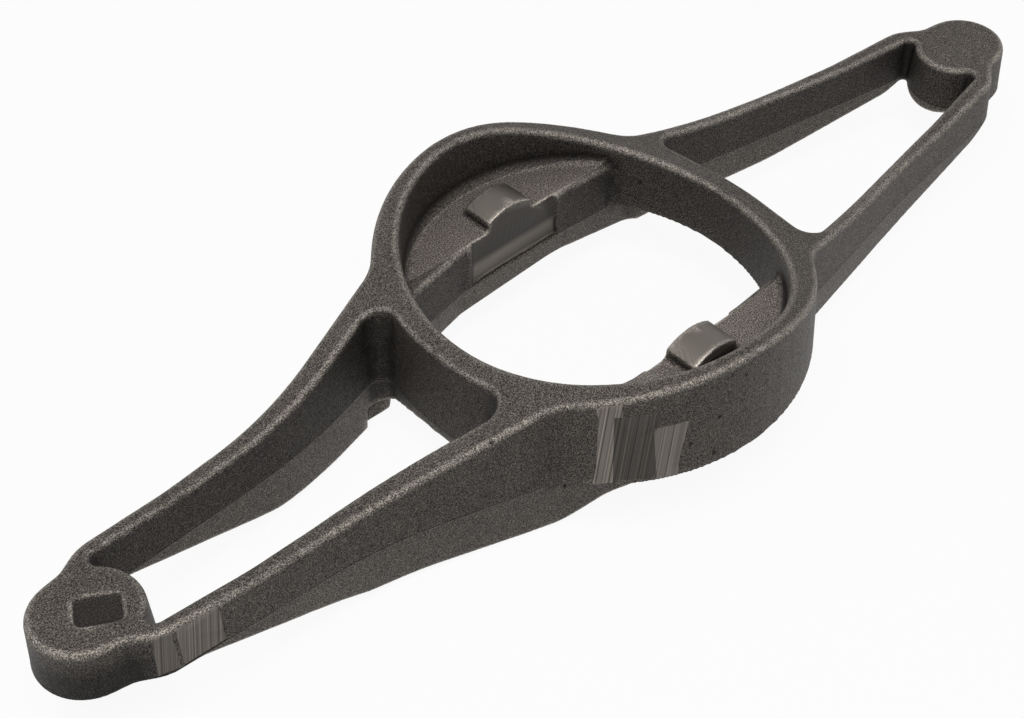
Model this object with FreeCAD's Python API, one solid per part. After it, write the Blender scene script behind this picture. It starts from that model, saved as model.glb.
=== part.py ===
"""Clutch release fork: one casting, a closed ring carried between two long arms at each end.

Frame: X runs along the fork, Y across it, Z up.  The origin is on the ring's axis, in the plane
that the two deeper bellies at -X rest on.  Millimetres and degrees throughout.

The pivot end is at -X and the rod end at +X.  Sizes that end in _RUN are measured outwards from
the ring's outer wall, those that end in _INSET inwards from it, and those that end in _BACK from
the centre of an end boss towards the ring.  _RISE and _DROP are heights above and below the
shelves or the mould joint.
"""
import FreeCAD
import Part
import math
import os

V = FreeCAD.Vector

# Heights
PARTING_Z = 18.6          # mould joint above the resting plane; the drafts of both halves meet there
SHELF_RISE = 15.0         # crescent shelves inside the ring, above the joint
PLAN_DROP = 0.9           # below the shelves, where the plan sizes are true
BOSS_DROP = 1.4           # underside of the end bosses, below the joint

# Ring
RING_OUTER_R = 62.5
RING_END_WALL = 11.3      # thickness of the wall at the ends of the bore
RING_SIDE_WALL = 7.3      # and at its sides
RING_END_INSET = 2.9      # the wall is cut back inside the end windows
RING_END_R = 88.0         # plan radius of that face
FLARE_ANGLE = 42.0        # polar angle at which the round wall leaves for the arm
FLARE_LENGTH = 6.5        # straight run from there to the arm
FLARE_R = 14.0

# Crowned rim, seen from the side: each flank rises from the arm tops to the crown
CROWN_X = 5.8
CROWN_RISE = 18.2         # above the shelves
CROWN_R = 90.0
BROW_X = -34.0
BROW_RISE = 16.2
BROW_R = 200.0
PIVOT_FOOT_RUN = 36.0     # where each flank runs out into the top of the arms
ROD_FOOT_RUN = 1.5
FOOT_DROP = 0.8           # below the shelves
FOOT_R = 180.0
DIP_BACK = 38.3           # lowest point of the arm tops, which rise again to the bosses
DIP_DROP = 2.2            # below the tops of the bosses, which are level with the shelves
DIP_R = 120.0

# End bosses
BOSS_X = 170.3            # centre of the round nose
BOSS_R = 13.3
NOSE_HALF = 27.0          # half of the angle that the corner at the tip spans
NOSE_END = 80.0           # polar angle at which the nose runs into the neck
HEEL_BACK = 3.0           # centre of the round heel inside the window
HEEL_R = 13.2
NECK_BACK = 3.1
NECK_R = 9.0

# Arms in plan: outer and inner edge at the shoulder by the boss, at the waist and at the root
PIVOT_SHOULDER_BACK = 10.3
PIVOT_SHOULDER_Y = 18.2
ROD_SHOULDER_BACK = 10.0
ROD_SHOULDER_Y = 19.7
SHOULDER_R = 13.0
PIVOT_WAIST_OUT_RUN = 35.5
PIVOT_WAIST_OUT_Y = 22.0
ROD_WAIST_OUT_RUN = 42.5
ROD_WAIST_OUT_Y = 26.7
PIVOT_WAIST_IN_RUN = 29.5
PIVOT_WAIST_IN_Y = 16.3
ROD_WAIST_IN_RUN = 49.5
ROD_WAIST_IN_Y = 21.6
PIVOT_WAIST_R = 150.0
ROD_WAIST_R = 300.0
PIVOT_ROOT_INSET = 6.7
PIVOT_ROOT_Y = 26.3
ROD_ROOT_INSET = 5.6
ROD_ROOT_Y = 31.2
ROOT_R = 5.0
PIVOT_WEDGE_BACK = 8.0    # sharp end of the window beside the heel
PIVOT_WEDGE_Y = 13.7
ROD_WEDGE_BACK = 8.2
ROD_WEDGE_Y = 13.2
WEDGE_R = 2.2

# Underside seen from the side, from the beams below the ring outwards.  The fork rests on the
# deeper bellies at the pivot end and leans a little on the shallower ones at the rod end.
KNEE_INSET = 26.5
KNEE_Z = 7.3
KNEE_R = 10.0
CREST_X = 18.0
CREST_DROP = 8.2          # below the joint
CREST_R = 60.0
PIVOT_BELLY_INSET = 15.5
PIVOT_BELLY_IN_R = 8.0
PIVOT_BELLY_LENGTH = 10.0
PIVOT_BELLY_OUT_R = 20.0
PIVOT_KEEL_RUN = 38.5     # from the belly the underside rises slowly to the keel
PIVOT_KEEL_Z = 1.9
PIVOT_KEEL_R = 30.0
PIVOT_TAIL_BACK = 19.3    # and from there steeply to the underside of the boss
PIVOT_TAIL_R = 12.0
ROD_BELLY_INSET = 5.5
ROD_BELLY_Z = 5.8
ROD_BELLY_R = 30.0
ROD_KEEL_RUN = 41.5
ROD_KEEL_Z = 6.9
ROD_KEEL_R = 60.0
ROD_STEP_BACK = 17.3
ROD_STEP_DROP = 3.5       # below the underside of the boss
ROD_STEP_R = 10.0
ROD_TAIL_BACK = 10.8
ROD_TAIL_R = 5.0
BEAM_INSET = 12.5         # outer edge of the beams at mid length
BEAM_BOW_R = 100.0
BEAM_BOW_HALF = 26.0      # half of the angle that the bow spans, in degrees
BEAM_CORNER_R = 12.0
PIVOT_ARCH_R = 48.0       # hollow under each end of the ring, between the beams
ROD_ARCH_R = 87.0
ARCH_DROP = 3.3           # top of the hollows, below the joint
THROAT_STEP = 2.8         # below the joint the opening is this much longer at each end
THROAT_CORNER_R = 8.0

# Chord walls, shelves and thrust pads
CHORD_Y = 33.6            # chord wall at the mould joint
MILLED_STEP = 1.3         # thrust face, milled flat through pad and chord wall
MILLED_LENGTH = 34.0
MILLED_CENTRE_X = 2.0
PIVOT_CHORD_BEND_X = 19.0     # beyond this the wall leans to the arm's inner root
ROD_CHORD_BEND_X = 22.0
CHORD_BEND_R = 15.0
PAD_LENGTH = 17.5
PAD_DEPTH = 11.5
PAD_HEIGHT = 5.6          # above the shelf
PAD_CROWN_R = 15.0
PAD_CENTRE_X = 1.0

# Draft and edge rounding
DRAFT = 3.5
CHORD_DRAFT = 1.0         # above the mould joint
BEAM_DRAFT = 7.5          # chord side below the mould joint
PAD_DRAFT = 8.0
TOP_EDGE_R = 1.8
SHELF_EDGE_R = 1.8
SHELF_ROOT_R = 3.0
CHORD_CORNER_R = 5.0
PAD_CORNER_R = 1.6
PAD_EDGE_R = 0.8
PAD_ROOT_R = 1.4
LOWER_EDGE_R = 1.2

# Sockets in the undersides of the end bosses
BALL_SOCKET_R = 9.0
BALL_SOCKET_DEPTH = 6.0
ROD_SOCKET_R = 6.5
ROD_SOCKET_DEPTH = 5.0

# Blank recess in the top of the boss at the pivot end
BLANK_LENGTH = 11.0
BLANK_WIDTH = 8.4
BLANK_CORNER_R = 1.6
BLANK_DEPTH = 1.1
BLANK_DRAFT = 20.0
BLANK_BACK = 3.9
BLANK_OFFSET = -2.0
BLANK_TURN = -29.0

SPARE = 5.0               # how far cutting bodies reach past the metal


# Places that follow from the sizes above
SHELF_Z = PARTING_Z + SHELF_RISE
PLAN_Z = SHELF_Z - PLAN_DROP
CROWN_Z = SHELF_Z + CROWN_RISE
BROW_Z = SHELF_Z + BROW_RISE
FOOT_Z = SHELF_Z - FOOT_DROP
DIP_Z = SHELF_Z - DIP_DROP
BOSS_TOP_Z = SHELF_Z
PAD_TOP_Z = SHELF_Z + PAD_HEIGHT
BOSS_UNDER_Z = PARTING_Z - BOSS_DROP
ROD_STEP_Z = BOSS_UNDER_Z - ROD_STEP_DROP
CREST_Z = PARTING_Z - CREST_DROP
ARCH_TOP_Z = PARTING_Z - ARCH_DROP
RING_INNER_X = RING_OUTER_R - RING_END_WALL
RING_INNER_Y = RING_OUTER_R - RING_SIDE_WALL
RING_END_X = RING_OUTER_R - RING_END_INSET
THROAT_END_X = RING_INNER_X + THROAT_STEP
BEAM_OUTER_Y = RING_OUTER_R - BEAM_INSET
MILLED_Y = CHORD_Y + MILLED_STEP
DIP_X = BOSS_X - DIP_BACK
NECK_X = BOSS_X - NECK_BACK

# The same by end: -1 for the pivot end, 1 for the rod end
FOOT_X = {-1: RING_OUTER_R + PIVOT_FOOT_RUN, 1: RING_OUTER_R + ROD_FOOT_RUN}
SHOULDER = {-1: (BOSS_X - PIVOT_SHOULDER_BACK, PIVOT_SHOULDER_Y, SHOULDER_R),
            1: (BOSS_X - ROD_SHOULDER_BACK, ROD_SHOULDER_Y, SHOULDER_R)}
WAIST_OUT = {-1: (RING_OUTER_R + PIVOT_WAIST_OUT_RUN, PIVOT_WAIST_OUT_Y, PIVOT_WAIST_R),
             1: (RING_OUTER_R + ROD_WAIST_OUT_RUN, ROD_WAIST_OUT_Y, ROD_WAIST_R)}
WAIST_IN = {-1: (RING_OUTER_R + PIVOT_WAIST_IN_RUN, PIVOT_WAIST_IN_Y, PIVOT_WAIST_R),
            1: (RING_OUTER_R + ROD_WAIST_IN_RUN, ROD_WAIST_IN_Y, ROD_WAIST_R)}
ROOT_IN = {-1: (RING_OUTER_R - PIVOT_ROOT_INSET, PIVOT_ROOT_Y, ROOT_R),
           1: (RING_OUTER_R - ROD_ROOT_INSET, ROD_ROOT_Y, ROOT_R)}
WEDGE = {-1: (BOSS_X - PIVOT_WEDGE_BACK, PIVOT_WEDGE_Y, WEDGE_R),
         1: (BOSS_X - ROD_WEDGE_BACK, ROD_WEDGE_Y, WEDGE_R)}
ARCH_R = {-1: PIVOT_ARCH_R, 1: ROD_ARCH_R}
CHORD_BEND_X = {-1: PIVOT_CHORD_BEND_X, 1: ROD_CHORD_BEND_X}


def wall_shift(z, draft):
    """How far a drafted wall has moved back from its place at the mould joint."""
    return abs(z - PARTING_Z) * math.tan(math.radians(draft))


def tangent_corner(centre, radius, start, end):
    """Corner where the tangents of a circle at two polar angles meet."""
    middle = math.radians((start + end) / 2)
    reach = radius / math.cos(math.radians(end - start) / 2)
    return (centre[0] + reach * math.cos(middle), centre[1] + reach * math.sin(middle), radius)


def crossing(p, q, r, s):
    """Point where the line through p and q meets the line through r and s."""
    ax, ay = q[0] - p[0], q[1] - p[1]
    bx, by = s[0] - r[0], s[1] - r[1]
    t = ((r[0] - p[0]) * by - (r[1] - p[1]) * bx) / (ax * by - ay * bx)
    return (p[0] + t * ax, p[1] + t * ay)


def shifted_corners(corners, grow):
    """Corners (x, y, radius) of an anticlockwise outline after its sides move out by grow."""
    count = len(corners)
    sides = []
    for i in range(count):
        x0, y0, _ = corners[i]
        x1, y1, _ = corners[(i + 1) % count]
        length = math.hypot(x1 - x0, y1 - y0)
        nx, ny = (y1 - y0) / length, (x0 - x1) / length
        sides.append((nx, ny, nx * x0 + ny * y0 + grow))
    moved = []
    for i in range(count):
        ax, ay, a = sides[i - 1]
        bx, by, b = sides[i]
        turn = ax * by - ay * bx
        radius = corners[i][2] + (grow if turn > 0 else -grow)
        moved.append(((a * by - b * ay) / turn, (ax * b - bx * a) / turn, radius))
    return moved


def rounded_edges(corners, place, closed=True):
    """Lines and arcs through corners (x, y, radius); place turns (x, y) into a 3-D point."""
    count = len(corners)
    inner = range(count) if closed else range(1, count - 1)
    marks = {}
    for i in inner:
        x, y, radius = corners[i]
        before, after = corners[i - 1], corners[(i + 1) % count]
        ux, uy = before[0] - x, before[1] - y
        vx, vy = after[0] - x, after[1] - y
        u, v = math.hypot(ux, uy), math.hypot(vx, vy)
        ux, uy, vx, vy = ux / u, uy / u, vx / v, vy / v
        half = math.acos(ux * vx + uy * vy) / 2
        run = radius / math.tan(half)
        bx, by = ux + vx, uy + vy
        depth = (radius / math.sin(half) - radius) / math.hypot(bx, by)
        marks[i] = (place(x + ux * run, y + uy * run), place(x + bx * depth, y + by * depth),
                    place(x + vx * run, y + vy * run))
    edges = []
    last = marks[count - 1][2] if closed else place(*corners[0][:2])
    for i in inner:
        start, middle, end = marks[i]
        # two corners of one circle meet without a straight run between them
        if start.distanceToPoint(last) > 1e-4:
            edges.append(Part.makeLine(last, start))
        else:
            start = last
        edges.append(Part.Arc(start, middle, end).toShape())
        last = end
    if not closed:
        edges.append(Part.makeLine(last, place(*corners[-1][:2])))
    return edges


def outline(corners, z, grow):
    """Closed plan outline at height z, its sides moved out by grow."""
    return Part.Wire(rounded_edges(shifted_corners(corners, grow), lambda x, y: V(x, y, z)))


def drafted(corners, z0, z1, side, draft=DRAFT, plan_z=PLAN_Z):
    """Drafted prism on one side of the mould joint, true to its plan at plan_z.

    It narrows away from the joint if side is 1, as metal does, and widens if side is -1.
    """
    wires = [outline(corners, z, side * (wall_shift(plan_z, draft) - wall_shift(z, draft)))
             for z in (z0, z1)]
    return Part.makeLoft(wires, True, True)


def drafted_bore(z0, z1):
    """Elliptic opening of the ring between two heights on one side of the mould joint."""
    wires = []
    for z in (z0, z1):
        grow = wall_shift(z, DRAFT) - wall_shift(PLAN_Z, DRAFT)
        # the long axis of an OCC ellipse comes first, so it is drawn along Y
        curve = Part.Ellipse(V(0, RING_INNER_Y + grow, z), V(-RING_INNER_X - grow, 0, z),
                             V(0, 0, z))
        wires.append(Part.Wire(curve.toShape()))
    return Part.makeLoft(wires, True, True)


def side_body(corners, far_z, half_width):
    """Body between a line of corners (x, z, radius) and the level far_z, extruded across Y."""
    def place(x, z):
        return V(x, -half_width, z)
    first, last = place(corners[0][0], far_z), place(corners[-1][0], far_z)
    edges = rounded_edges(corners, place, closed=False)
    edges.append(Part.makeLine(place(*corners[-1][:2]), last))
    edges.append(Part.makeLine(last, first))
    edges.append(Part.makeLine(first, place(*corners[0][:2])))
    return Part.Face(Part.Wire(edges)).extrude(V(0, 2 * half_width, 0))


def box(x0, x1, y0, y1, z0, z1):
    """Plain block between two corners."""
    return Part.makeBox(x1 - x0, y1 - y0, z1 - z0, V(x0, y0, z0))


def picked_edges(shape, wanted):
    """Edges between two faces for which wanted(middle, normals) holds."""
    found = []
    for edge in shape.Edges:
        faces = shape.ancestorsOfType(edge, Part.Face)
        if len(faces) == 2:
            middle = edge.valueAt((edge.FirstParameter + edge.LastParameter) / 2)
            normals = [face.normalAt(*face.Surface.parameter(middle)) for face in faces]
            if wanted(middle, sorted(normals, key=lambda n: abs(n.z))):
                found.append(edge)
    return found


def mirrored(corners, side):
    """Upper half of a plan outline, listed from +X to -X, for the given end of the fork."""
    return corners if side > 0 else [(-x, y, radius) for x, y, radius in reversed(corners)]


def closed_outline(first, upper, last):
    """Anticlockwise outline, symmetric about the X axis, from the part that lies above it."""
    lower = [(x, -y, radius) for x, y, radius in reversed(upper)]
    return [first] + upper + [last] + lower


def arm_outer_corners(side):
    """Outer edge of one end, from the nose of the boss to the arm's waist, as if at +X."""
    lean = math.radians(NOSE_END)
    neck_y = (BOSS_R - (NECK_X - BOSS_X) * math.cos(lean)) / math.sin(lean)
    return [tangent_corner((BOSS_X, 0), BOSS_R, NOSE_HALF, NOSE_END),
            (NECK_X, neck_y, NECK_R), SHOULDER[side], WAIST_OUT[side]]


def flare_point():
    """Point at +X where the ring's tangent meets the outer edge of an arm."""
    a = math.radians(FLARE_ANGLE)
    return (RING_OUTER_R * math.cos(a) + FLARE_LENGTH * math.sin(a),
            RING_OUTER_R * math.sin(a) - FLARE_LENGTH * math.cos(a))


def beam_bow():
    """Corner of the bowed outer edge of a beam."""
    return tangent_corner((0, BEAM_OUTER_Y - BEAM_BOW_R), BEAM_BOW_R,
                          90 - BEAM_BOW_HALF, 90 + BEAM_BOW_HALF)


def beam_corner(side):
    """Corner, as if at +X, where the bow of a beam meets the outer edge of an arm."""
    bow = beam_bow()
    lean = math.radians(BEAM_BOW_HALF)
    along = (bow[0] + math.cos(lean), bow[1] - math.sin(lean))
    return crossing(bow, along, flare_point(), WAIST_OUT[side]) + (BEAM_CORNER_R,)


def fork_outline(middle):
    """Outline of the whole fork; middle holds the corners between its two waists."""
    nose = tangent_corner((BOSS_X, 0), BOSS_R, -NOSE_HALF, NOSE_HALF)
    upper = mirrored(arm_outer_corners(1), 1) + middle + mirrored(arm_outer_corners(-1), -1)
    return closed_outline(nose, upper, (-nose[0], 0, BOSS_R))


def upper_outline():
    """Outline above the mould joint, where the ring bulges past the beams."""
    x, y = flare_point()
    ring = tangent_corner((0, 0), RING_OUTER_R, FLARE_ANGLE, 180 - FLARE_ANGLE)
    return fork_outline([(x, y, FLARE_R), ring, (-x, y, FLARE_R)])


def lower_outline():
    """Outline below the mould joint, where a bowed beam runs under each side of the ring."""
    left = beam_corner(-1)
    return fork_outline([beam_corner(1), beam_bow(), (-left[0], left[1], left[2])])


def window_outline(side):
    """Opening between the two arms of one end, bounded by the ring and the heel of the boss."""
    heel = tangent_corner((BOSS_X - HEEL_BACK, 0), HEEL_R, 135, 225)
    ring = tangent_corner((RING_END_X - RING_END_R, 0), RING_END_R, -10, 10)
    upper = [ROOT_IN[side], WAIST_IN[side], WEDGE[side]]
    if side > 0:
        return closed_outline(heel, upper[::-1], ring)
    return closed_outline((-ring[0], 0, ring[2]), [(-x, y, radius) for x, y, radius in upper],
                          (-heel[0], 0, heel[2]))


def top_line():
    """Crowned top of the whole fork seen from the side, from -X to +X."""
    end_x = BOSS_X + BOSS_R + SPARE
    end_z = DIP_Z + (BOSS_TOP_Z - DIP_Z) * (end_x - DIP_X) / (BOSS_X - DIP_X)
    return [(-end_x, end_z), (-DIP_X, DIP_Z, DIP_R), (-FOOT_X[-1], FOOT_Z, FOOT_R),
            (BROW_X, BROW_Z, BROW_R), (CROWN_X, CROWN_Z, CROWN_R),
            (FOOT_X[1], FOOT_Z, FOOT_R), (DIP_X, DIP_Z, DIP_R), (end_x, end_z)]


def bottom_line():
    """Underside of the whole fork seen from the side, from -X to +X."""
    end_x = BOSS_X + BOSS_R + SPARE
    belly_x = RING_OUTER_R - PIVOT_BELLY_INSET
    return [(-end_x, BOSS_UNDER_Z),
            (PIVOT_TAIL_BACK - BOSS_X, BOSS_UNDER_Z, PIVOT_TAIL_R),
            (-RING_OUTER_R - PIVOT_KEEL_RUN, PIVOT_KEEL_Z, PIVOT_KEEL_R),
            (-belly_x - PIVOT_BELLY_LENGTH, 0, PIVOT_BELLY_OUT_R),
            (-belly_x, 0, PIVOT_BELLY_IN_R),
            (KNEE_INSET - RING_OUTER_R, KNEE_Z, KNEE_R),
            (CREST_X, CREST_Z, CREST_R),
            (RING_OUTER_R - ROD_BELLY_INSET, ROD_BELLY_Z, ROD_BELLY_R),
            (RING_OUTER_R + ROD_KEEL_RUN, ROD_KEEL_Z, ROD_KEEL_R),
            (BOSS_X - ROD_STEP_BACK, ROD_STEP_Z, ROD_STEP_R),
            (BOSS_X - ROD_TAIL_BACK, BOSS_UNDER_Z, ROD_TAIL_R),
            (end_x, BOSS_UNDER_Z)]


def throat_outline(end_x):
    """Opening between the chord walls; past their bends they run to the arms' inner roots."""
    upper = []
    for side in (1, -1):
        bend = (CHORD_BEND_X[side], CHORD_Y)
        root = ROOT_IN[side]
        y = bend[1] + (end_x - bend[0]) * (root[1] - bend[1]) / (root[0] - bend[0])
        part = [(side * end_x, y, THROAT_CORNER_R), (side * bend[0], bend[1], CHORD_BEND_R)]
        upper += part[::side]
    return upper + [(x, -y, radius) for x, y, radius in reversed(upper)]


def shelf_mouth(chords):
    """Rounded edge of the shelves along the chord walls, as part of the opening."""
    wires = []
    for step in range(5):
        a = step * math.pi / 8
        z = SHELF_Z - SHELF_EDGE_R * (1 - math.sin(a))
        wires.append(outline(chords, z, wall_shift(z, CHORD_DRAFT)
                             + SHELF_EDGE_R * (1 - math.cos(a))))
    above = Part.Face(wires[-1]).extrude(V(0, 0, SHELF_ROOT_R))
    mouth = Part.makeLoft(wires, True, False).fuse(above)
    return mouth.common(drafted_bore(SHELF_Z - SHELF_EDGE_R, SHELF_Z + SHELF_ROOT_R))


def upper_bore():
    """Opening of the ring above the mould joint, with its two crescent shelves."""
    start_z = SHELF_Z - SHELF_EDGE_R
    chords = throat_outline(RING_INNER_X + 2 * SPARE)
    throat = drafted(chords, PARTING_Z, start_z, -1, CHORD_DRAFT, PARTING_Z)
    throat = throat.common(drafted_bore(PARTING_Z, start_z))
    corners = picked_edges(throat, lambda p, n: abs(n[1].z) < 0.5
                           and abs(n[0].cross(n[1]).z) > 0.2)
    high = drafted_bore(SHELF_Z, CROWN_Z + SPARE)
    root = picked_edges(high, lambda p, n: n[1].z < -0.9)
    return shelf_mouth(chords).fuse([throat.makeFillet(CHORD_CORNER_R, corners),
                                     high.makeFillet(SHELF_ROOT_R, root)])


def upper_half():
    """Metal above the mould joint: crowned ring, arm tops, bosses, shelves."""
    top_z = CROWN_Z + SPARE
    metal = drafted(upper_outline(), PARTING_Z, top_z, 1)
    for side in (-1, 1):
        metal = metal.cut(drafted(window_outline(side), PARTING_Z, top_z, -1))
    metal = metal.cut(upper_bore())
    metal = metal.cut(side_body(top_line(), top_z + SPARE, RING_OUTER_R + SPARE))
    rim = picked_edges(metal, lambda p, n: n[1].z > 0.8 and abs(n[0].z) < 0.3
                       and (p.z > SHELF_Z + 0.1 or abs(p.x) > RING_INNER_X))
    return metal.makeFillet(TOP_EDGE_R, rim)


def lower_half():
    """Metal below the mould joint: two beams, four arms, the undersides of the bosses."""
    metal = drafted(lower_outline(), PARTING_Z, -SPARE, 1)
    for side in (-1, 1):
        metal = metal.cut(drafted(window_outline(side), PARTING_Z, -SPARE, -1))
        metal = metal.cut(arch(side))
    metal = metal.cut(drafted(throat_outline(THROAT_END_X), PARTING_Z, -SPARE, -1, BEAM_DRAFT,
                              PARTING_Z))
    metal = metal.cut(side_body(bottom_line(), -2 * SPARE, RING_OUTER_R + SPARE))
    sole = picked_edges(metal, lambda p, n: n[1].z < -0.8 and abs(n[0].z) < 0.3
                        and p.z < PARTING_Z - LOWER_EDGE_R and not vaulted(p))
    return metal.makeFillet(LOWER_EDGE_R, sole)


def vaulted(p):
    """Whether a point lies on the hollow under one end of the ring."""
    radius = ARCH_R[1 if p.x > 0 else -1]
    return abs(math.hypot(p.y, p.z - ARCH_TOP_Z + radius) - radius) < 0.01


def arch(side):
    """Vaulted hollow under one end of the ring, between the two arms."""
    length = THROAT_END_X + 2 * SPARE
    half_width = ROOT_IN[side][1]
    under = box(0, length, -half_width, half_width, -SPARE, PARTING_Z)
    vault = Part.makeCylinder(ARCH_R[side], length, V(0, 0, ARCH_TOP_Z - ARCH_R[side]),
                              V(1, 0, 0))
    hollow = under.common(vault)
    return hollow if side > 0 else hollow.mirror(V(0, 0, 0), V(1, 0, 0))


def thrust_pad(side):
    """Crowned pad on one shelf with the fillet at its foot, before its face is milled."""
    x0, x1 = PAD_CENTRE_X - PAD_LENGTH / 2, PAD_CENTRE_X + PAD_LENGTH / 2
    y0, y1 = MILLED_Y - SPARE, MILLED_Y + PAD_DEPTH
    corners = [(x0, y0, PAD_CORNER_R), (x1, y0, PAD_CORNER_R), (x1, y1, PAD_CORNER_R),
               (x0, y1, PAD_CORNER_R)]
    wires = []
    for z in (SHELF_Z - SHELF_EDGE_R, PAD_TOP_Z + PAD_EDGE_R):
        wires.append(outline(corners, z, (SHELF_Z - z) * math.tan(math.radians(PAD_DRAFT))))
    block = Part.makeLoft(wires, True, True)
    crown = Part.makeCylinder(PAD_CROWN_R, 2 * (PAD_DEPTH + SPARE),
                              V(PAD_CENTRE_X, MILLED_Y - 2 * SPARE, PAD_TOP_Z - PAD_CROWN_R),
                              V(0, 1, 0))
    pad = block.common(crown)
    top = picked_edges(pad, lambda p, n: n[1].z > 0.7 and abs(n[0].z) < 0.3)
    pad = pad.makeFillet(PAD_EDGE_R, top)
    # a sheet of the shelf itself carries the pad while its foot is rounded
    sheet = Part.Face(outline(corners, SHELF_Z, 1.5 * PAD_ROOT_R)).extrude(V(0, 0, -SHELF_EDGE_R))
    pad = pad.fuse(sheet)
    foot = picked_edges(pad, lambda p, n: n[1].z > 0.9 and abs(n[0].z) < 0.3
                        and abs(p.z - SHELF_Z) < 0.01 and abs(n[0].z) > 0.05)
    pad = pad.makeFillet(PAD_ROOT_R, foot)
    return pad if side > 0 else pad.mirror(V(0, 0, 0), V(0, 1, 0))


def milled_opening():
    """Space cleared by the cutter that faces both thrust surfaces."""
    x0 = MILLED_CENTRE_X - MILLED_LENGTH / 2
    return box(x0, x0 + MILLED_LENGTH, -MILLED_Y, MILLED_Y, PARTING_Z, PAD_TOP_Z + SPARE)


def socket(x, radius, depth):
    """Spherical cup of the given mouth radius and depth in the underside of a boss."""
    ball = (radius ** 2 + depth ** 2) / (2 * depth)
    return Part.makeSphere(ball, V(x, 0, BOSS_UNDER_Z + depth - ball))


def blank_recess():
    """Plain shallow recess in the top of the boss at the pivot end."""
    half_length, half_width = BLANK_LENGTH / 2, BLANK_WIDTH / 2
    corners = [(x, y, BLANK_CORNER_R) for x, y in
               ((-half_length, -half_width), (half_length, -half_width),
                (half_length, half_width), (-half_length, half_width))]
    wires = []
    for rise in (0, BLANK_DEPTH + SPARE):
        wires.append(outline(corners, BOSS_TOP_Z - BLANK_DEPTH + rise,
                             rise * math.tan(math.radians(BLANK_DRAFT))))
    recess = Part.makeLoft(wires, True, True)
    recess.rotate(V(0, 0, 0), V(0, 0, 1), BLANK_TURN)
    recess.translate(V(BLANK_BACK - BOSS_X, BLANK_OFFSET, 0))
    return recess


def clutch_fork():
    """The finished casting."""
    fork = upper_half().fuse(lower_half())
    fork = fork.fuse([thrust_pad(-1), thrust_pad(1)])
    fork = fork.cut(milled_opening())
    fork = fork.cut(blank_recess())
    fork = fork.cut(socket(-BOSS_X, BALL_SOCKET_R, BALL_SOCKET_DEPTH))
    fork = fork.cut(socket(BOSS_X, ROD_SOCKET_R, ROD_SOCKET_DEPTH))
    return fork.removeSplitter()


fork = clutch_fork()
os.makedirs("parts", exist_ok=True)
fork.exportStep("parts/clutch_fork.step")
bounds = fork.BoundBox
print("solids", len(fork.Solids), "faces", len(fork.Faces), "valid", fork.isValid())
print("size", round(bounds.XLength, 2), round(bounds.YLength, 2), round(bounds.ZLength, 2))
print("volume cm3", round(fork.Volume / 1000, 2))
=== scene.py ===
"""Looks of a one-piece clutch release fork, cast in iron and shot-blasted, with milled thrust faces.

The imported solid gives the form. One dense skin stands for it and carries what casting leaves on a real
one: a slightly uneven surface, the line of the mould's parting, a few blow holes and two ground patches.
Sizes are in millimetres unless a comment says otherwise.
"""

import math

import bmesh
import bpy
import numpy as np
from mathutils import Matrix, Vector

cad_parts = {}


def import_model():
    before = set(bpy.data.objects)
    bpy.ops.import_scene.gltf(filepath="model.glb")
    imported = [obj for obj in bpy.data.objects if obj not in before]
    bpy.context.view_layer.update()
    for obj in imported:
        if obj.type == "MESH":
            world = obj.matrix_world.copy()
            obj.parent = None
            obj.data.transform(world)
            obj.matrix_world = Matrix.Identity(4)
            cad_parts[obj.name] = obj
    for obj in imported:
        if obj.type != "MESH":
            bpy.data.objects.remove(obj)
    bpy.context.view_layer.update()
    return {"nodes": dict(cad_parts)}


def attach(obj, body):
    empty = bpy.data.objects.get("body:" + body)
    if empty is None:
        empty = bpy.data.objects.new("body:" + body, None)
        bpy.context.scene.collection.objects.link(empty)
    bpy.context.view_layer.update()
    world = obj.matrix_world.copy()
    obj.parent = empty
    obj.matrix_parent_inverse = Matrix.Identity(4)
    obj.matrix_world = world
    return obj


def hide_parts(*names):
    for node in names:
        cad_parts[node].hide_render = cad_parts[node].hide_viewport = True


MM = 0.001

# The casting, as in its solid: heights of the mould's parting and of the shelves, the shelves' outer radius,
# the thrust faces' distance from the middle plane and the ends of their milling, and the pads' upper end
PARTING_Z = 18.6
SHELF_Z = 33.6
SHELF_RADIUS = 53.0
MILLED_Y = 34.9
MILLED_START_X = -15.0
MILLED_END_X = 19.0
PAD_TOP_LIMIT = 41.0

SKIN_CELL = 0.55
SKIN_TRIANGLES = 190000
SKIN_INSET = 0.05

# Flats dressed with a hand grinder, three on the ring and two on the arm beside the boss at -X: lowest and
# highest corner of the place, the way the flat faces as an angle about Z and a rise in degrees, depth below
# the furthest point there, and how bright it looks, which is painted light and shade for each flat
FLATS = [
    ((-50, -56, 19), (-38, -40, 48), (-130.8, 3.5), 0.12, 2.3),
    ((-42, -60, 19), (-29, -44, 42.5), (-124.6, 3.6), 0.30, 0.85),
    ((-34, -62, 19), (-21, -50, 37.5), (-116.6, 4.2), 0.26, 2.1),
    ((-166, -22, 18.8), (-156.2, -13, 33), (-106.0, 3.5), 0.30, 1.5),
    ((-156.2, -24, 18.8), (-144, -13, 33), (-93.2, 3.5), 0.22, 1.9),
]
# How far a point may lie from a flat's plane and still be on it
FLAT_TOLERANCE = 0.035

# Blow holes that the blasting opened: centre and radius
PITS = [
    ((-67.2, -30.9, 40.5), 0.45),
    ((-48.0, -38.6, 15.8), 0.5),
    ((-14.0, -60.7, 34.8), 0.5),
    ((-6.1, -61.4, 45.3), 0.35),
    ((-10.6, -60.7, 47.8), 0.35),
    ((-22.2, -58.6, 28.9), 0.4),
    ((-15.4, -61.2, 22.4), 0.45),
    ((45.3, 25.2, 29.1), 0.4),
]


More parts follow.
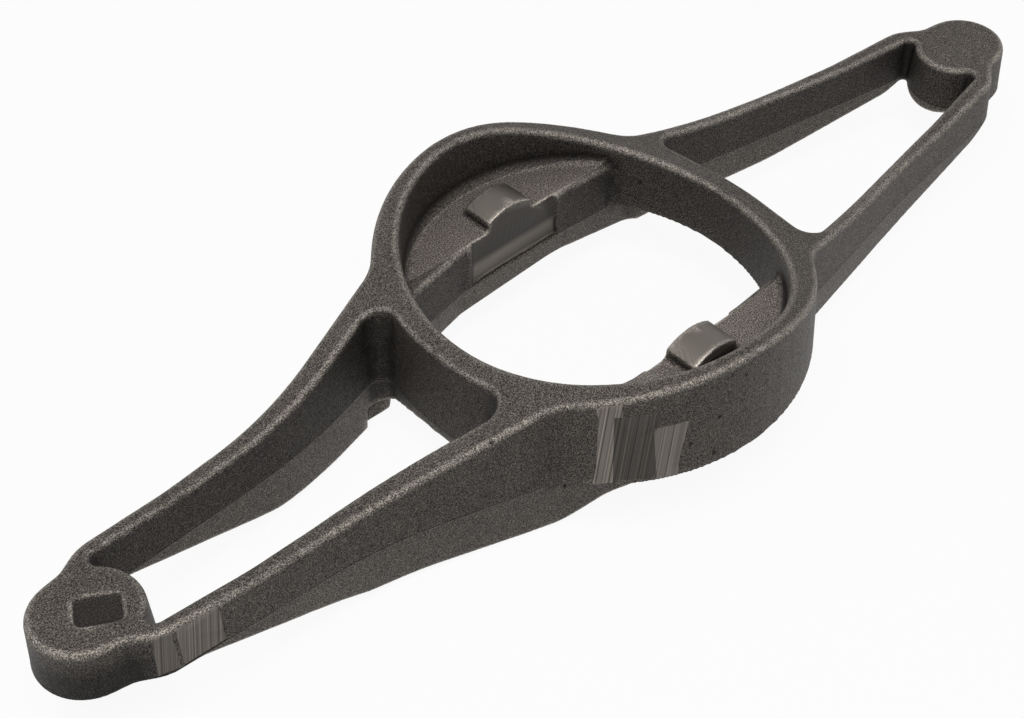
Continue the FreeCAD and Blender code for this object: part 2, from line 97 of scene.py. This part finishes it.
def linear(code):
    """Linear RGBA of an sRGB hex colour such as "#6b6a66"."""
    values = [int(code[i : i + 2], 16) / 255 for i in (1, 3, 5)]
    return tuple([v / 12.92 if v <= 0.04045 else ((v + 0.055) / 1.055) ** 2.4 for v in values] + [1.0])


def add(tree, kind, inputs=None, **settings):
    """Adds one node. Inputs are numbers, colours or sockets to link, by the input's name or number."""
    node = tree.nodes.new(kind)
    for name, value in settings.items():
        setattr(node, name, value)
    for key, value in (inputs or {}).items():
        if isinstance(value, bpy.types.NodeSocket):
            tree.links.new(value, node.inputs[key])
        else:
            node.inputs[key].default_value = value
    return node


def new_material(name):
    """An empty node material and its tree."""
    material = bpy.data.materials.new(name)
    material.use_nodes = True
    material.node_tree.nodes.clear()
    return material, material.node_tree


# ---- the skin -------------------------------------------------------------------------------------


def lattice_noise(points, cell, seed):
    """Smooth noise from -1 to 1. Each corner of a cubic lattice with that cell has a fixed hashed value,
    and a point blends its eight corners with the smooth step 3t^2 - 2t^3 along each axis."""
    place = points / cell
    corner = np.floor(place)
    t = place - corner
    t = t * t * (3 - 2 * t)
    total = np.zeros(len(points))
    for i in (0, 1):
        for j in (0, 1):
            for k in (0, 1):
                c = corner + (i, j, k)
                value = np.sin(c @ (127.1, 311.7, 74.7) + seed) * 43758.5453
                value = 2 * (value - np.floor(value)) - 1
                share = np.abs(1 - i - t[:, 0]) * np.abs(1 - j - t[:, 1]) * np.abs(1 - k - t[:, 2])
                total += share * value
    return total


def bump_of(distance, width):
    """A bell that is 1 at distance 0 and falls to 0.37 at one width: exp(-(d/w)^2)."""
    return np.exp(-((distance / width) ** 2))


def read_mesh(mesh):
    """Vertex places in mm and unit normals as arrays."""
    count = len(mesh.vertices)
    places = np.empty(count * 3)
    mesh.vertices.foreach_get("co", places)
    normals = np.empty(count * 3, np.float32)
    mesh.vertex_normals.foreach_get("vector", normals)
    return places.reshape(-1, 3) / MM, normals.reshape(-1, 3).astype(float)


def evaluated(obj, name):
    """The mesh that obj's modifiers give, as a mesh of its own."""
    graph = bpy.context.evaluated_depsgraph_get()
    mesh = bpy.data.meshes.new_from_object(obj.evaluated_get(graph))
    mesh.name = name
    return mesh


def facing(flat):
    """Unit vector at the flat's angle about Z and its rise."""
    turn, rise = (math.radians(a) for a in flat[2])
    return np.array([math.cos(turn) * math.cos(rise), math.sin(turn) * math.cos(rise), math.sin(rise)])


def level_of(p, flat):
    """Distance from the origin, along the flat's facing, of its plane: its depth below the furthest point
    of the surface inside its place."""
    inside = np.all((p > flat[0]) & (p < flat[1]), axis=1)
    return float(np.max(p[inside] @ facing(flat)) - flat[3])


def ground(p, flat, level):
    """Points inside the flat's place that stand out of its plane drop straight onto it."""
    inside = np.all((p > flat[0]) & (p < flat[1]), axis=1)
    proud = np.where(inside, np.maximum(p @ facing(flat) - level, 0), 0)
    return p - proud[:, None] * facing(flat)


def cast_skin(node):
    """The node's surface as one closed even mesh, moved along its normals by the marks of casting.

    shift = -inset - 0.05 (1 + n7)/2 - 0.03 (1 + n2.6)/2 + 0.09 seam - 0.8 r pit, in mm, where n7 and n2.6 are
    lattice noises with cells of 7 and 2.6 mm, seam is a bell of 0.45 mm about the parting plane on upright
    walls, and pit a bell as wide as the blow hole's radius r. A milled face has only the inset and the pits.
    The points then drop onto the ground flats, whose levels come back with the object.
    """
    source = node.data.copy()
    welded = bmesh.new()
    welded.from_mesh(source)
    bmesh.ops.remove_doubles(welded, verts=welded.verts, dist=1e-6)
    welded.to_mesh(source)
    welded.free()
    obj = bpy.data.objects.new("casting_skin", source)
    bpy.context.scene.collection.objects.link(obj)
    remesh = obj.modifiers.new("even", "REMESH")
    remesh.mode = "VOXEL"
    remesh.voxel_size = SKIN_CELL * MM
    dense = evaluated(obj, "dense_skin")
    obj.modifiers.clear()
    obj.data = dense
    bpy.data.meshes.remove(source)

    p, n = read_mesh(dense)
    milled = (p[:, 0] > MILLED_START_X) & (p[:, 0] < MILLED_END_X) & (p[:, 2] > PARTING_Z - 1)
    milled &= (np.abs(np.abs(p[:, 1]) - MILLED_Y) < 0.4) & (np.abs(n[:, 1]) > 0.9)
    rough = np.where(milled, 0.0, 1.0)
    shift = -SKIN_INSET - 0.05 * rough * (1 + lattice_noise(p, 7.0, 1.0)) / 2
    shift -= 0.03 * rough * (1 + lattice_noise(p, 2.6, 2.0)) / 2
    seam = bump_of(p[:, 2] - PARTING_Z - 0.25 * lattice_noise(p, 9.0, 3.0), 0.45)
    shift += 0.09 * rough * seam * (np.abs(n[:, 2]) < 0.4)
    for centre, radius in PITS:
        shift -= 0.8 * radius * bump_of(np.linalg.norm(p - centre, axis=1), radius)
    p = p + n * shift[:, None]
    levels = [level_of(p, flat) for flat in FLATS]
    for flat, level in zip(FLATS, levels):
        p = ground(p, flat, level)
    dense.vertices.foreach_set("co", (p * MM).ravel())
    dense.update()

    thin = obj.modifiers.new("thin", "DECIMATE")
    thin.ratio = min(1.0, SKIN_TRIANGLES / (2 * len(dense.polygons)))
    obj.data = evaluated(obj, "casting_skin")
    obj.modifiers.clear()
    bpy.data.meshes.remove(dense)
    obj.data.shade_smooth()
    mark_surface(obj.data)
    return obj, levels


def bends(mesh, p, n):
    """How far the surface turns at each point, in 1/mm: positive on outward edges, negative in hollows.

    For each mesh edge the turn is (n2 - n1).(p2 - p1)/|p2 - p1|^2, averaged over the edges that meet at a
    point and then twice over a point's neighbours.
    """
    pairs = np.empty(len(mesh.edges) * 2, np.int32)
    mesh.edges.foreach_get("vertices", pairs)
    a, b = pairs.reshape(-1, 2).T
    along = p[b] - p[a]
    turn = np.sum((n[b] - n[a]) * along, axis=1) / np.maximum(np.sum(along * along, axis=1), 1e-6)
    ends = np.concatenate([a, b])
    count = np.maximum(np.bincount(ends, minlength=len(p)), 1)
    bend = np.bincount(ends, weights=np.concatenate([turn, turn]), minlength=len(p)) / count
    for _ in range(2):
        around = np.bincount(ends, weights=bend[np.concatenate([b, a])], minlength=len(p)) / count
        bend = (bend + around) / 2
    return bend


def mark_surface(mesh):
    """Three point attributes for the material. The bend is taken as 0 over the raised parting line.

    painted_edge_highlight = (bend - 0.1)/0.3, from 0 on flats and hollows to 1 on outward edges, where the
    material paints a highlight with it.
    hollow = -bend/0.08 times upright, from 0 to 1 in upright corners, where upright = 1 - nz^2. The
    material paints shade into those corners with it.
    mould_half_tone_and_shade = (0.35 + 0.65 inward) tanh((parting - z)/0.4) - 0.3, times upright: how bright
    a wall looks, with more of a step at the parting on walls that face the middle. It is partly the mould
    halves' own tone and partly painted shade that darkens the upper half, the most on walls that face the
    middle.
    inward is the larger of how far the wall faces the Z axis and how far it faces the middle plane, not below
    0.
    """
    p, n = read_mesh(mesh)
    bend = bends(mesh, p, n) * (1 - bump_of(p[:, 2] - PARTING_Z, 1.0))
    upright = 1 - np.abs(n[:, 2]) ** 2
    to_axis = -np.sum(p[:, :2] * n[:, :2], axis=1) / np.linalg.norm(p[:, :2], axis=1)
    to_plane = -np.sign(p[:, 1]) * n[:, 1]
    inward = np.maximum(np.clip(to_axis, 0, 1), np.clip(to_plane, 0, 1))
    half = np.tanh((PARTING_Z - p[:, 2]) / 0.4) * (0.35 + 0.65 * inward) - 0.3
    marks = {
        # painted highlight along the outward edges
        "painted_edge_highlight": np.clip((bend - 0.1) / 0.3, 0, 1),
        # painted shade in upright corners
        "hollow": np.clip(-bend / 0.08, 0, 1) * upright,
        # partly the mould halves' tone, partly painted shade on the upper halves
        "mould_half_tone_and_shade": half * upright,
    }
    for name, values in marks.items():
        mesh.attributes.new(name, "FLOAT", "POINT").data.foreach_set("value", values.astype(np.float32))


# ---- material -------------------------------------------------------------------------------------


def product(tree, *factors):
    """The factors, sockets or numbers, multiplied together."""
    result = factors[0]
    for factor in factors[1:]:
        result = add(tree, "ShaderNodeMath", {0: result, 1: factor}, operation="MULTIPLY").outputs[0]
    return result


def largest(tree, *factors):
    """The largest of the factors, sockets or numbers."""
    result = factors[0]
    for factor in factors[1:]:
        result = add(tree, "ShaderNodeMath", {0: result, 1: factor}, operation="MAXIMUM").outputs[0]
    return result


def inside_box(tree, axes, low, high):
    """1 where each axis, a socket, lies between its own low and high, else 0."""
    inside = []
    for axis, a, b in zip(axes, low, high):
        near = add(tree, "ShaderNodeMath", {0: axis, 1: (a + b) / 2, 2: (b - a) / 2}, operation="COMPARE")
        inside.append(near.outputs[0])
    return product(tree, *inside)


def milled_places(tree, axes):
    """Masks of the thrust faces and of the pads' tops on both sides. The axes are x, |y| and z."""
    faces = inside_box(
        tree,
        axes,
        (MILLED_START_X + 0.1, MILLED_Y - 0.2, PARTING_Z - 0.1),
        (MILLED_END_X - 0.1, MILLED_Y + 0.2, PAD_TOP_LIMIT),
    )
    tops = inside_box(tree, axes, (-7.3, MILLED_Y + 0.2, 36.6), (9.3, MILLED_Y + 11.3, PAD_TOP_LIMIT))
    return faces, tops


def milled_painted_light(tree, axes, tops):
    """Painted light and shade on the milled metal: a thrust face is bright for 5 mm at its foot and duller
    above, with a painted highlight, a bright rim half a millimetre wide, at its two ends. The pads' tops are
    painted bright all over."""
    # painted light: a thrust face is bright at its foot, duller above; the pads' tops are painted bright
    face = add(tree, "ShaderNodeMapRange", {"Value": axes[2], 1: 23.5, 2: 26.0, 3: 4.0, 4: 0.85}).outputs[0]
    sheen = add(tree, "ShaderNodeMix", {"Factor": tops, 2: face, 3: 2.5}, data_type="FLOAT").outputs[0]
    # painted highlight: a bright rim at the two ends of a thrust face
    within_rims = inside_box(tree, axes[:1], (MILLED_START_X + 0.6,), (MILLED_END_X - 0.6,))
    rimmed = add(tree, "ShaderNodeMix", {"Factor": within_rims, 2: 2.6, 3: sheen}, data_type="FLOAT")
    return rimmed.outputs[0]


def place_tone_and_painted_light(tree, x, y, axes):
    """Whole places painted brighter or darker than the rest: the shelves nearly twice as bright, a painted
    pool of light; the side of the boss at -X darker below its edge, a painted shade; and the walls by their
    side of the parting, partly the mould halves' own tone and partly painted shade."""
    square = add(tree, "ShaderNodeMath", {0: x, 1: x, 2: product(tree, y, y)}, operation="MULTIPLY_ADD")
    round_inside = add(
        tree, "ShaderNodeMath", {0: square.outputs[0], 1: SHELF_RADIUS**2}, operation="LESS_THAN"
    ).outputs[0]
    level = inside_box(tree, axes[1:], (MILLED_Y, SHELF_Z - 0.4), (56.0, SHELF_Z + 1.2))
    # painted pool of light on the shelves
    shelf = product(tree, round_inside, level)
    # painted shade on the side of the boss at -X, below its edge
    boss = add(tree, "ShaderNodeMapRange", {"Value": x, 1: -166.0, 2: -156.0, 3: 1.0, 4: 0.0}).outputs[0]
    low = add(tree, "ShaderNodeMapRange", {"Value": axes[2], 1: 25.0, 2: 31.0, 3: 1.0, 4: 0.0}).outputs[0]
    half = add(tree, "ShaderNodeAttribute", attribute_name="mould_half_tone_and_shade").outputs["Fac"]
    result = 1.0
    for mask, gain in ((shelf, 0.95), (product(tree, boss, low), -0.7)):
        more = add(tree, "ShaderNodeMath", {0: mask, 1: gain, 2: result}, operation="MULTIPLY_ADD")
        result = more.outputs[0]
    # the walls: partly the mould halves' own tone, partly painted shade
    walls = add(tree, "ShaderNodeMath", {0: half, 1: 0.28, 2: 1.0}, operation="MULTIPLY_ADD").outputs[0]
    return product(tree, result, walls)


def ground_flats(tree, mm, place, levels):
    """The mask of the ground flats, which are where the surface lies in one of their planes, and how bright
    each one looks, painted light and shade for each flat. place is the sockets of x, y and z."""
    flats, shade = 0.0, 1.0
    for flat, level in zip(FLATS, levels):
        low, high, _, _, brightness = flat
        along = add(tree, "ShaderNodeVectorMath", {0: mm, 1: tuple(facing(flat))}, operation="DOT_PRODUCT")
        spot = inside_box(
            tree,
            (along.outputs["Value"], *place),
            (level - FLAT_TOLERANCE, *low),
            (level + FLAT_TOLERANCE, *high),
        )
        flats = largest(tree, flats, spot)
        # each flat's painted light and shade
        mixed = add(tree, "ShaderNodeMix", {"Factor": spot, 2: shade, 3: brightness}, data_type="FLOAT")
        shade = mixed.outputs[0]
    return flats, shade


def darkness(tree, mm, axes):
    """0 to 1, for the blow holes, a wandering line at the parting, and painted shade on the floor of the
    blank recess in the boss and in the deep corners."""
    holes = 0.0
    for centre, radius in PITS:
        away = add(tree, "ShaderNodeVectorMath", {0: mm, 1: centre}, operation="DISTANCE").outputs["Value"]
        hole = add(tree, "ShaderNodeMath", {0: away, 1: 0.9 * radius}, operation="LESS_THAN").outputs[0]
        holes = largest(tree, holes, hole)
    wander = add(tree, "ShaderNodeTexNoise", {"Vector": mm, "Scale": 1 / 9, "Detail": 1.0}).outputs["Fac"]
    line_z = add(tree, "ShaderNodeMath", {0: wander, 1: 0.5, 2: axes[2]}, operation="MULTIPLY_ADD").outputs[0]
    line = inside_box(tree, (line_z,), (PARTING_Z + 0.07,), (PARTING_Z + 0.43,))
    # painted shade on the floor of the recess
    recess = inside_box(tree, axes, (-174.0, -9.0, 32.0), (-158.0, 9.0, 32.72))
    # painted shade in the deep upright corners
    hollow = add(tree, "ShaderNodeAttribute", attribute_name="hollow").outputs["Fac"]
    return largest(
        tree, holes, product(tree, line, 0.75), product(tree, recess, 0.7), product(tree, hollow, 0.75)
    )


def blasted_cast_iron(levels):
    """Grey cast iron, sand cast and shot-blasted: a dark warm grey metal whose fine dimples sparkle where
    they face a lamp, with painted glints on their crests and a painted highlight along its edges. Milled
    faces and ground flats are bare metal, smoother and finely scored, with painted light and shade on them."""
    material, tree = new_material("shot_blasted_cast_iron")
    metres = add(tree, "ShaderNodeTexCoord").outputs["Object"]
    mm = add(tree, "ShaderNodeVectorMath", {0: metres, 3: 1 / MM}, operation="SCALE").outputs[0]
    x, y, z = add(tree, "ShaderNodeSeparateXYZ", {0: mm}).outputs
    width = add(tree, "ShaderNodeMath", {0: y}, operation="ABSOLUTE").outputs[0]
    axes = (x, width, z)

    # tone changes over some 25 mm, as the blasting leaves it
    clouds = add(tree, "ShaderNodeTexNoise", {"Vector": mm, "Scale": 1 / 25, "Detail": 3.0}).outputs["Fac"]
    tones = {"Factor": clouds, 6: linear("#393532"), 7: linear("#46423e")}
    tone = add(tree, "ShaderNodeMix", tones, data_type="RGBA").outputs[2]
    # shot dimples are 0.2 to 0.4 mm across; drawn at 0.36 mm, with bright crests that are painted glints
    dimples = {"Vector": mm, "Scale": 1 / 0.36, "Detail": 2.0, "Roughness": 0.75}
    grain = add(tree, "ShaderNodeTexNoise", dimples).outputs["Fac"]
    crests = add(tree, "ShaderNodeMapRange", {"Value": grain, 1: 0.44, 2: 0.66, 3: 0.4, 4: 3.7}).outputs[0]
    # the grain's speckle with its painted glints, times the painted light and shade of places
    speckle_and_painted_light = product(tree, crests, place_tone_and_painted_light(tree, x, y, axes))

    # scoring some 0.6 mm apart, upright and leaning a little, on the flats
    slant = add(tree, "ShaderNodeVectorMath", {0: mm, 1: (1.0, -0.55, -0.13)}, operation="DOT_PRODUCT")
    scoring = {"W": product(tree, slant.outputs["Value"], 1.3), "Scale": 1.0, "Detail": 3.0, "Roughness": 0.8}
    score = add(tree, "ShaderNodeTexNoise", scoring, noise_dimensions="1D").outputs[0]
    scored = add(tree, "ShaderNodeMapRange", {"Value": score, 1: 0.3, 2: 0.7, 3: 0.25, 4: 2.1}).outputs[0]

    # brightness: speckled iron with painted glints and the painted light and shade of places, then milled and
    # ground metal with painted light and shade, then what is dark, with painted shade in the recess and deep
    # corners
    faces, tops = milled_places(tree, axes)
    bare = largest(tree, faces, tops)
    flats, shade = ground_flats(tree, mm, (x, y, z), levels)
    bright = speckle_and_painted_light
    for mask, value in (
        (bare, milled_painted_light(tree, axes, tops)),
        (flats, product(tree, shade, scored)),
        (darkness(tree, mm, axes), 0.12),
    ):
        mixed = add(tree, "ShaderNodeMix", {"Factor": mask, 2: bright, 3: value}, data_type="FLOAT")
        bright = mixed.outputs[0]
    coloured = add(tree, "ShaderNodeVectorMath", {0: tone, 3: bright}, operation="SCALE").outputs[0]
    # painted highlight: outward edges are paled towards a light grey
    edge_highlight = add(tree, "ShaderNodeAttribute", attribute_name="painted_edge_highlight").outputs["Fac"]
    highlight_mix = {"Factor": product(tree, edge_highlight, speckle_and_painted_light, 0.36), 6: coloured, 7: linear("#aaa39a")}
    colour = add(tree, "ShaderNodeMix", highlight_mix, data_type="RGBA").outputs[2]

    tooled = largest(tree, bare, flats)
    roughness = add(tree, "ShaderNodeMix", {"Factor": tooled, 2: 0.56, 3: 0.4}, data_type="FLOAT").outputs[0]
    heights = {"Factor": tooled, 2: grain, 3: product(tree, score, 0.4)}
    height = add(tree, "ShaderNodeMix", heights, data_type="FLOAT").outputs[0]
    relief = add(tree, "ShaderNodeBump", {"Height": height, "Strength": 0.8, "Distance": 0.3 * MM})
    shader = add(
        tree,
        "ShaderNodeBsdfPrincipled",
        {"Base Color": colour, "Metallic": 0.85, "Roughness": roughness, "Normal": relief.outputs["Normal"]},
    )
    add(tree, "ShaderNodeOutputMaterial", {"Surface": shader.outputs["BSDF"]})
    return material


# ---- stage ----------------------------------------------------------------------------------------


def camera():
    """A 63.6 mm lens half a metre from the part, in front of its -X, -Y side and 44.6 degrees above it. It
    stands a little left of and below the line of sight through a point at the top of the part's middle."""
    turn, rise, roll = math.radians(-43.056), math.radians(44.628), math.radians(0.039)
    back = Vector((math.sin(turn) * math.cos(rise), -math.cos(turn) * math.cos(rise), math.sin(rise)))
    right = Vector((math.cos(turn), math.sin(turn), 0))
    up = back.cross(right)
    right, up = right * math.cos(roll) + up * math.sin(roll), up * math.cos(roll) - right * math.sin(roll)
    data = bpy.data.cameras.new("camera")
    data.lens = 63.56
    data.sensor_width = 36
    data.clip_start = 0.01
    data.clip_end = 20
    obj = bpy.data.objects.new("camera", data)
    bpy.context.scene.collection.objects.link(obj)
    place = Vector((0, 0, 51.3)) + back * 495.5 - right * 22.73 - up * 34.61
    facing_part = Matrix((right, up, back)).transposed().to_4x4()
    obj.matrix_world = Matrix.Translation(place * MM) @ facing_part
    bpy.context.scene.camera = obj


def lamp(name, place, aim, size, power):
    """A soft rectangular lamp, in metres and watts, that faces the point aim."""
    data = bpy.data.lights.new(name, "AREA")
    data.shape = "RECTANGLE"
    data.size, data.size_y = size
    data.energy = power
    obj = bpy.data.objects.new(name, data)
    bpy.context.scene.collection.objects.link(obj)
    obj.location = place
    obj.rotation_mode = "QUATERNION"
    obj.rotation_quaternion = (Vector(aim) - Vector(place)).to_track_quat("-Z", "Y")


def sees_background(tree):
    """1 for camera, glossy and transmission rays, which see the background white, else 0."""
    rays = add(tree, "ShaderNodeLightPath").outputs
    return largest(tree, rays["Is Camera Ray"], rays["Is Glossy Ray"], rays["Is Transmission Ray"])


def floor():
    """A pale floor 0.3 mm under the part: a flat grid 5 m square, white to the camera apart from a soft
    shadow."""
    cells = 8
    side = np.linspace(-2.5, 2.5, cells + 1)
    x, y = np.meshgrid(side, side)
    places = np.stack([x.ravel(), y.ravel(), np.full(x.size, -0.3 * MM)], axis=1)
    corner = np.arange(cells)[:, None] * (cells + 1) + np.arange(cells)[None, :]
    faces = np.stack([corner, corner + 1, corner + cells + 2, corner + cells + 1], axis=-1).reshape(-1, 4)
    mesh = bpy.data.meshes.new("floor")
    mesh.from_pydata(places.tolist(), [], faces.tolist())
    obj = bpy.data.objects.new("floor", mesh)
    bpy.context.scene.collection.objects.link(obj)
    material, tree = new_material("pale_floor")
    matt = add(tree, "ShaderNodeBsdfDiffuse", {"Color": linear("#dcdcda")})
    bright = add(tree, "ShaderNodeEmission", {"Color": (1, 1, 1, 1), "Strength": 1.0})
    share = product(tree, sees_background(tree), 0.93)
    mixed = add(tree, "ShaderNodeMixShader", {0: share, 1: matt.outputs[0], 2: bright.outputs[0]})
    add(tree, "ShaderNodeOutputMaterial", {"Surface": mixed.outputs[0]})
    mesh.materials.append(material)


def world():
    """A dim grey room that is white where the camera, or a reflection, looks past the floor."""
    room = bpy.data.worlds.new("room")
    bpy.context.scene.world = room
    room.use_nodes = True
    tree = room.node_tree
    tree.nodes.clear()
    dim = add(tree, "ShaderNodeBackground", {"Color": linear("#909090"), "Strength": 0.8})
    white = add(tree, "ShaderNodeBackground", {"Color": (1, 1, 1, 1), "Strength": 1.0})
    seen = sees_background(tree)
    mixed = add(tree, "ShaderNodeMixShader", {0: seen, 1: dim.outputs[0], 2: white.outputs[0]})
    add(tree, "ShaderNodeOutputWorld", {"Surface": mixed.outputs[0]})


def main():
    """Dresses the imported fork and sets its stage."""
    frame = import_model()
    skin, levels = cast_skin(frame["nodes"]["clutch_fork"])
    skin.data.materials.clear()
    skin.data.materials.append(blasted_cast_iron(levels))
    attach(skin, "root")
    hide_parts("clutch_fork")
    camera()
    world()
    floor()
    middle = (0, 0, 0.03)
    lamp("overhead", (-0.35, -0.25, 1.4), middle, (0.9, 0.9), 17)
    lamp("right", (1.3, -1.0, 0.6), middle, (0.6, 0.6), 4.5)
    bpy.context.scene.view_settings.view_transform = "Standard"
    print("skin triangles", sum(len(f.vertices) - 2 for f in skin.data.polygons))


main()
